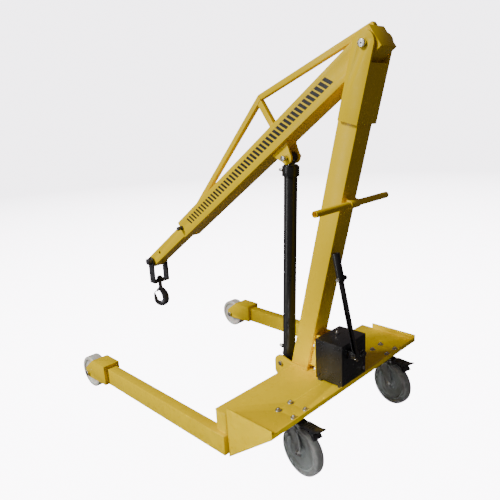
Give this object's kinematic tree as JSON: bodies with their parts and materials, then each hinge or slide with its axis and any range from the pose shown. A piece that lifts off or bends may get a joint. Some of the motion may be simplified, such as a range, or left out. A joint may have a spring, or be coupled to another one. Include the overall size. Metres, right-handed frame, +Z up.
{
  "type": "engine hoist crane",
  "caption": "Wheeled workshop engine hoist: leaning mast, trussed telescopic boom with swivel hook, hydraulic ram, hand pump, two straight legs and braked swivel casters.",
  "frame": {"origin": "on the floor, midway across the width and midway between the boom's tail and its tip", "axes": "+Z up, -Y the way the boom and legs point, +Y toward the operator, +X the operator's left"},
  "size_m": [1.136, 1.5438, 1.6437],
  "materials": {
    "yellow_paint": "gloss sprayed enamel",
    "zinc_steel": "zinc plated",
    "black_paint": "satin black enamel",
    "dark_steel": "dark oiled forging",
    "chromed_rod": "ground and chromed",
    "black_plastic": "moulded",
    "cast_iron": "as cast, painted grey",
    "grey_rubber": "grey elastic rubber",
    "grey_plastic": "moulded",
    "grey_steel": "grey zinc passivated",
    "white_nylon": "turned nylon"
  },
  "bodies": {
    "frame": {"cross_member": "yellow_paint", "deck_plate": "yellow_paint", "side_plate_left": "yellow_paint", "side_plate_right": "yellow_paint", "rear_rail": "yellow_paint", "leg_left": "yellow_paint", "leg_right": "yellow_paint", "roller_housing_left": "yellow_paint", "roller_housing_right": "yellow_paint", "front_axles": "zinc_steel", "mast_tube": "yellow_paint", "mast_head": "yellow_paint", "head_spacers": "yellow_paint", "head_pin": "zinc_steel", "foot_brackets": "yellow_paint", "foot_pin": "zinc_steel", "push_handle": "yellow_paint", "handle_bracket": "yellow_paint", "pump_bracket": "yellow_paint", "pump_cover": "black_paint", "pump_block": "cast_iron", "lever_bracket": "black_paint", "filler_plug": "zinc_steel", "pump_bolts": "zinc_steel", "caster_plates": "zinc_steel", "caster_bolts": "zinc_steel"},
    "boom": {"boom_tube": "yellow_paint", "boom_tail_plate": "yellow_paint", "boom_bush": "zinc_steel", "boom_collar": "yellow_paint", "truss_post": "yellow_paint", "truss_upper_tie": "yellow_paint", "truss_lower_tie": "yellow_paint", "ram_lug_pad": "yellow_paint", "ram_lugs": "yellow_paint", "ram_top_pins": "zinc_steel"},
    "lock_screw": {"boom_lock_screw": "dark_steel"},
    "extension": {"extension_tube": "yellow_paint", "clevis_bolt": "dark_steel"},
    "clevis": {"hook_clevis": "dark_steel"},
    "hook": {"hook": "dark_steel", "hook_nut": "dark_steel"},
    "latch": {"hook_latch": "dark_steel"},
    "ram_cylinder": {"ram_barrel": "black_paint", "ram_gland": "black_paint"},
    "ram_piston": {"ram_rod": "chromed_rod"},
    "lever": {"pump_lever": "black_paint"},
    "lever_handle": {"handle_sleeve": "black_paint"},
    "piston": {"pump_piston": "chromed_rod"},
    "release": {"release_knob": "black_plastic"},
    "caster_left": {"caster_fork_left": "grey_steel"},
    "caster_wheel_left": {"caster_tyre_left": "grey_rubber", "caster_hub_left": "grey_plastic"},
    "pedal_left": {"brake_pedal_left": "black_paint"},
    "caster_right": {"caster_fork_right": "grey_steel"},
    "caster_wheel_right": {"caster_tyre_right": "grey_rubber", "caster_hub_right": "grey_plastic"},
    "pedal_right": {"brake_pedal_right": "black_paint"},
    "front_wheel_left": {"front_wheel_left": "white_nylon"},
    "front_wheel_right": {"front_wheel_right": "white_nylon"}
  },
  "joints": [
    {"name": "boom_lift", "type": "hinge", "parent": "frame", "child": "boom", "pos_m": [0, 0.70525, 1.571], "axis": [-1, 0, 0], "range_deg": [0, 55]},
    {"name": "extension_slide", "type": "slide", "parent": "boom", "child": "extension", "axis": [0, -0.8192, -0.5736], "range_m": [-0.3, 0.2]},
    {"name": "lock_screw_turn", "type": "hinge", "parent": "boom", "child": "lock_screw", "pos_m": [0.06, -0.40503, 0.79602], "axis": [1, 0, 0], "continuous": true},
    {"name": "clevis_swing", "type": "hinge", "parent": "extension", "child": "clevis", "pos_m": [0, -0.73195, 0.55856], "axis": [1, 0, 0], "range_deg": [-75, 75]},
    {"name": "hook_swivel", "type": "hinge", "parent": "clevis", "child": "hook", "pos_m": [0, -0.73195, 0.43056], "axis": [0, 0, 1], "continuous": true},
    {"name": "latch_open", "type": "hinge", "parent": "hook", "child": "latch", "pos_m": [0.00566, -0.73761, 0.37656], "axis": [-0.7071, -0.7071, 0], "range_deg": [0, 35], "stiffness_Nm_per_rad": 0.06, "springref_deg": -28.65},
    {"name": "ram_tilt", "type": "hinge", "parent": "frame", "child": "ram_cylinder", "pos_m": [0, 0.26714, 0.238], "axis": [-1, 0, 0], "range_deg": [-7.49, 0]},
    {"name": "ram_stroke", "type": "slide", "parent": "ram_cylinder", "child": "ram_piston", "axis": [0, 0.0535, 0.9986], "range_m": [0, 0.49]},
    {"name": "lever_pump", "type": "hinge", "parent": "frame", "child": "lever", "pos_m": [0.042, 0.66114, 0.396], "axis": [-1, 0, 0], "range_deg": [0, 65]},
    {"name": "handle_slide", "type": "slide", "parent": "lever", "child": "lever_handle", "axis": [0, -0.2164, 0.9763], "range_m": [-0.06, 0]},
    {"name": "piston_push", "type": "slide", "parent": "frame", "child": "piston", "axis": [0, -1, 0], "range_m": [0, 0.024]},
    {"name": "release_turn", "type": "hinge", "parent": "frame", "child": "release", "pos_m": [-0.05, 0.64214, 0.358], "axis": [0, 1, 0], "range_deg": [0, 180]},
    {"name": "caster_swivel_left", "type": "hinge", "parent": "frame", "child": "caster_left", "pos_m": [0.335, 0.56914, 0.225], "axis": [0, 0, 1], "continuous": true},
    {"name": "caster_spin_left", "type": "hinge", "parent": "caster_left", "child": "caster_wheel_left", "pos_m": [0.34265, 0.6236, 0.1], "axis": [0.9903, -0.1392, 0], "continuous": true},
    {"name": "brake_left", "type": "hinge", "parent": "caster_left", "child": "pedal_left", "pos_m": [0.34307, 0.62658, 0.215], "axis": [-0.9903, 0.1392, 0], "range_deg": [0, 10]},
    {"name": "front_spin_left", "type": "hinge", "parent": "frame", "child": "front_wheel_left", "pos_m": [0.513, -0.65286, 0.082], "axis": [1, 0, 0], "continuous": true},
    {"name": "caster_swivel_right", "type": "hinge", "parent": "frame", "child": "caster_right", "pos_m": [-0.335, 0.56914, 0.225], "axis": [0, 0, 1], "continuous": true},
    {"name": "caster_spin_right", "type": "hinge", "parent": "caster_right", "child": "caster_wheel_right", "pos_m": [-0.32356, 0.62294, 0.1], "axis": [0.9781, -0.2079, 0], "continuous": true},
    {"name": "brake_right", "type": "hinge", "parent": "caster_right", "child": "pedal_right", "pos_m": [-0.32294, 0.62587, 0.215], "axis": [-0.9781, 0.2079, 0], "range_deg": [0, 10]},
    {"name": "front_spin_right", "type": "hinge", "parent": "frame", "child": "front_wheel_right", "pos_m": [-0.513, -0.65286, 0.082], "axis": [1, 0, 0], "continuous": true}
  ],
  "couplings": [
    {"joint": "ram_tilt", "follows": "boom_lift", "ratio": -0.13528},
    {"joint": "ram_stroke", "follows": "boom_lift", "m_per_rad": 0.50996},
    {"joint": "piston_push", "follows": "lever_pump", "m_per_rad": 0.020819}
  ]
}
